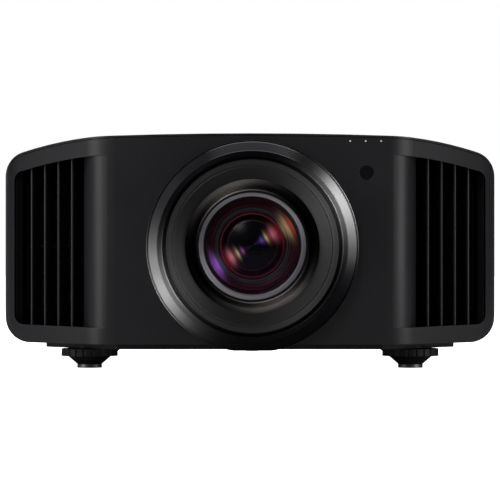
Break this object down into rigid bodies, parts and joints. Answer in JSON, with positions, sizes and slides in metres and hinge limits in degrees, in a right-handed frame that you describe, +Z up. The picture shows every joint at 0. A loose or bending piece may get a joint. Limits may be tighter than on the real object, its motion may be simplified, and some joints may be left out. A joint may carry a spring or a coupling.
{
  "type": "home projector",
  "caption": "Crowned black home-cinema projector with a large turned lens bezel, swept side louvres, levelling feet, motorised lens shift and a rear filter grille.",
  "frame": {"origin": "centre of the overall box, on the surface the feet stand on", "axes": "+Z up, -Y out of the lens, +X to the right seen from the front"},
  "size_m": [0.5, 0.518, 0.234],
  "materials": {
    "shell_black": "satin moulded",
    "inlay": "semi gloss",
    "bezel_metal": "satin turned and blackened",
    "dish_gloss": "gloss",
    "lens_alloy": "black anodised satin",
    "steel": "ground",
    "tray_steel": "powder coated",
    "dark_plastic": "matte",
    "motor_steel": "satin",
    "foot_rubber": "matte",
    "foam": "open foam",
    "coated_glass": "purple-red anti-reflection coating",
    "panel_sensor": "gloss",
    "board_green": "solder mask",
    "light_pipe": "clear"
  },
  "bodies": {
    "cabinet": {"air_filter": "foam", "base_tray": "tray_steel", "case_screws": "steel", "exhaust_ducts": "shell_black", "fan_frames": "dark_plastic", "front_panel": "shell_black", "heat_sink": "lens_alloy", "imaging_panels": "panel_sensor", "indicator_lights": "light_pipe", "lens_bezel": "bezel_metal", "lens_frame": "lens_alloy", "lens_funnel": "bezel_metal", "light_engine": "lens_alloy", "louvre_left": "shell_black", "louvre_right": "shell_black", "lower_sides": "shell_black", "main_board": "board_green", "optical_chassis": "lens_alloy", "power_inlet": "dark_plastic", "power_supply": "tray_steel", "prism_cube": "coated_glass", "rear_feet": "foot_rubber", "rear_panel": "shell_black", "rods_vertical": "steel", "sensor_windows": "dark_plastic", "shift_motor_vertical": "motor_steel", "terminal_plate": "tray_steel", "terminal_sockets": "steel", "top_cover": "shell_black", "top_inlay": "inlay"},
    "shift_carriage_vertical": {"shift_plate_vertical": "lens_alloy", "rods_horizontal": "steel", "shift_motor_horizontal": "motor_steel"},
    "lens_unit": {"shift_plate_horizontal": "lens_alloy", "lens_barrel": "lens_alloy", "lens_dish": "dish_gloss", "lens_motors": "motor_steel"},
    "front_group": {"front_cell": "lens_alloy", "front_glass": "coated_glass"},
    "zoom_group": {"zoom_cell": "lens_alloy", "zoom_glass": "coated_glass"},
    "focus_ring": {"focus_ring": "dark_plastic"},
    "focus_pinion": {"focus_pinion": "dark_plastic"},
    "zoom_ring": {"zoom_ring": "dark_plastic"},
    "zoom_pinion": {"zoom_pinion": "dark_plastic"},
    "lead_screw_vertical": {"lead_screw_vertical": "steel"},
    "lead_screw_horizontal": {"lead_screw_horizontal": "steel"},
    "iris_blade_left": {"iris_blade_left": "steel"},
    "iris_blade_right": {"iris_blade_right": "steel"},
    "fan_rotor_left": {"fan_rotor_left": "dark_plastic"},
    "fan_rotor_right": {"fan_rotor_right": "dark_plastic"},
    "filter_cover": {"filter_cover": "shell_black"},
    "key_cursor": {"key_cursor": "dark_plastic"},
    "key_enter": {"key_enter": "dark_plastic"},
    "key_menu": {"key_menu": "dark_plastic"},
    "key_power": {"key_power": "dark_plastic"},
    "foot_leg_front_left": {"foot_leg_front_left": "motor_steel"},
    "foot_leg_front_right": {"foot_leg_front_right": "motor_steel"},
    "foot_wheel_front_left": {"foot_wheel_front_left": "dark_plastic"},
    "foot_wheel_front_right": {"foot_wheel_front_right": "dark_plastic"}
  },
  "joints": [
    {"name": "lens_shift_vertical", "type": "slide", "parent": "cabinet", "child": "shift_carriage_vertical", "axis": [0, 0, 1], "range_m": [-0.0065, 0.0065]},
    {"name": "lens_shift_horizontal", "type": "slide", "parent": "shift_carriage_vertical", "child": "lens_unit", "axis": [1, 0, 0], "range_m": [-0.0053, 0.0053]},
    {"name": "vertical_screw_turn", "type": "hinge", "parent": "cabinet", "child": "lead_screw_vertical", "pos_m": [-0.0776, -0.106, 0.1], "axis": [0, 0, 1], "range_deg": [-2350, 2350]},
    {"name": "horizontal_screw_turn", "type": "hinge", "parent": "shift_carriage_vertical", "child": "lead_screw_horizontal", "pos_m": [0.0024, -0.127, 0.0538], "axis": [1, 0, 0], "range_deg": [-1950, 1950]},
    {"name": "focus_ring_turn", "type": "hinge", "parent": "lens_unit", "child": "focus_ring", "pos_m": [0.0024, -0.171, 0.1228], "axis": [0, 1, 0], "range_deg": [-60, 60]},
    {"name": "focus_pinion_turn", "type": "hinge", "parent": "lens_unit", "child": "focus_pinion", "pos_m": [0.02823, -0.16, 0.18516], "axis": [0, 1, 0], "range_deg": [-485, 485]},
    {"name": "front_group_slide", "type": "slide", "parent": "lens_unit", "child": "front_group", "axis": [0, 1, 0], "range_m": [-0.0021, 0.0021]},
    {"name": "zoom_ring_turn", "type": "hinge", "parent": "lens_unit", "child": "zoom_ring", "pos_m": [0.0024, -0.155, 0.1228], "axis": [0, 1, 0], "range_deg": [-60, 60]},
    {"name": "zoom_pinion_turn", "type": "hinge", "parent": "lens_unit", "child": "zoom_pinion", "pos_m": [-0.02343, -0.16, 0.18516], "axis": [0, 1, 0], "range_deg": [-485, 485]},
    {"name": "zoom_group_slide", "type": "slide", "parent": "lens_unit", "child": "zoom_group", "axis": [0, 1, 0], "range_m": [-0.0081, 0.0081]},
    {"name": "iris_right_swing", "type": "hinge", "parent": "cabinet", "child": "iris_blade_right", "pos_m": [0.0284, -0.053, 0.1228], "axis": [0, 1, 0], "range_deg": [0, 24]},
    {"name": "iris_left_swing", "type": "hinge", "parent": "cabinet", "child": "iris_blade_left", "pos_m": [-0.0236, -0.051, 0.1228], "axis": [0, 1, 0], "range_deg": [-24.5, 0.5]},
    {"name": "fan_right_spin", "type": "hinge", "parent": "cabinet", "child": "fan_rotor_right", "pos_m": [0.178, -0.07, 0.122], "axis": [0, 1, 0], "continuous": true},
    {"name": "fan_left_spin", "type": "hinge", "parent": "cabinet", "child": "fan_rotor_left", "pos_m": [-0.178, -0.07, 0.122], "axis": [0, 1, 0], "continuous": true},
    {"name": "filter_cover_pull", "type": "slide", "parent": "cabinet", "child": "filter_cover", "axis": [0, 1, 0], "range_m": [0, 0.12]},
    {"name": "key_power_press", "type": "slide", "parent": "cabinet", "child": "key_power", "axis": [0, -1, 0], "range_m": [0, 0.0012], "stiffness_N_per_m": 900, "springref_m": -0.001},
    {"name": "key_menu_press", "type": "slide", "parent": "cabinet", "child": "key_menu", "axis": [0, -1, 0], "range_m": [0, 0.0012], "stiffness_N_per_m": 900, "springref_m": -0.001},
    {"name": "key_enter_press", "type": "slide", "parent": "cabinet", "child": "key_enter", "axis": [0, -1, 0], "range_m": [0, 0.0012], "stiffness_N_per_m": 900, "springref_m": -0.001},
    {"name": "key_cursor_press", "type": "slide", "parent": "cabinet", "child": "key_cursor", "axis": [0, -1, 0], "range_m": [0, 0.0012], "stiffness_N_per_m": 900, "springref_m": -0.001},
    {"name": "foot_left_height", "type": "slide", "parent": "cabinet", "child": "foot_leg_front_left", "axis": [0, 0, -1], "range_m": [0, 0.0101]},
    {"name": "foot_left_turn", "type": "hinge", "parent": "foot_leg_front_left", "child": "foot_wheel_front_left", "pos_m": [-0.1625, -0.15, 0.015], "axis": [0, 0, -1], "range_deg": [0, 2400]},
    {"name": "foot_right_height", "type": "slide", "parent": "cabinet", "child": "foot_leg_front_right", "axis": [0, 0, -1], "range_m": [0, 0.0101]},
    {"name": "foot_right_turn", "type": "hinge", "parent": "foot_leg_front_right", "child": "foot_wheel_front_right", "pos_m": [0.1625, -0.15, 0.015], "axis": [0, 0, -1], "range_deg": [0, 2400]}
  ],
  "couplings": [
    {"joint": "focus_pinion_turn", "follows": "focus_ring_turn", "ratio": -8},
    {"joint": "front_group_slide", "follows": "focus_ring_turn", "m_per_rad": -0.0019099},
    {"joint": "zoom_pinion_turn", "follows": "zoom_ring_turn", "ratio": -8},
    {"joint": "zoom_group_slide", "follows": "zoom_ring_turn", "m_per_rad": 0.0076394},
    {"joint": "iris_left_swing", "follows": "iris_right_swing", "ratio": -1},
    {"joint": "foot_left_height", "follows": "foot_left_turn", "m_per_rad": 0.00023873},
    {"joint": "foot_right_height", "follows": "foot_right_turn", "m_per_rad": 0.00023873},
    {"joint": "vertical_screw_turn", "follows": "lens_shift_vertical", "rad_per_m": 6283.2},
    {"joint": "horizontal_screw_turn", "follows": "lens_shift_horizontal", "rad_per_m": 6283.2}
  ]
}
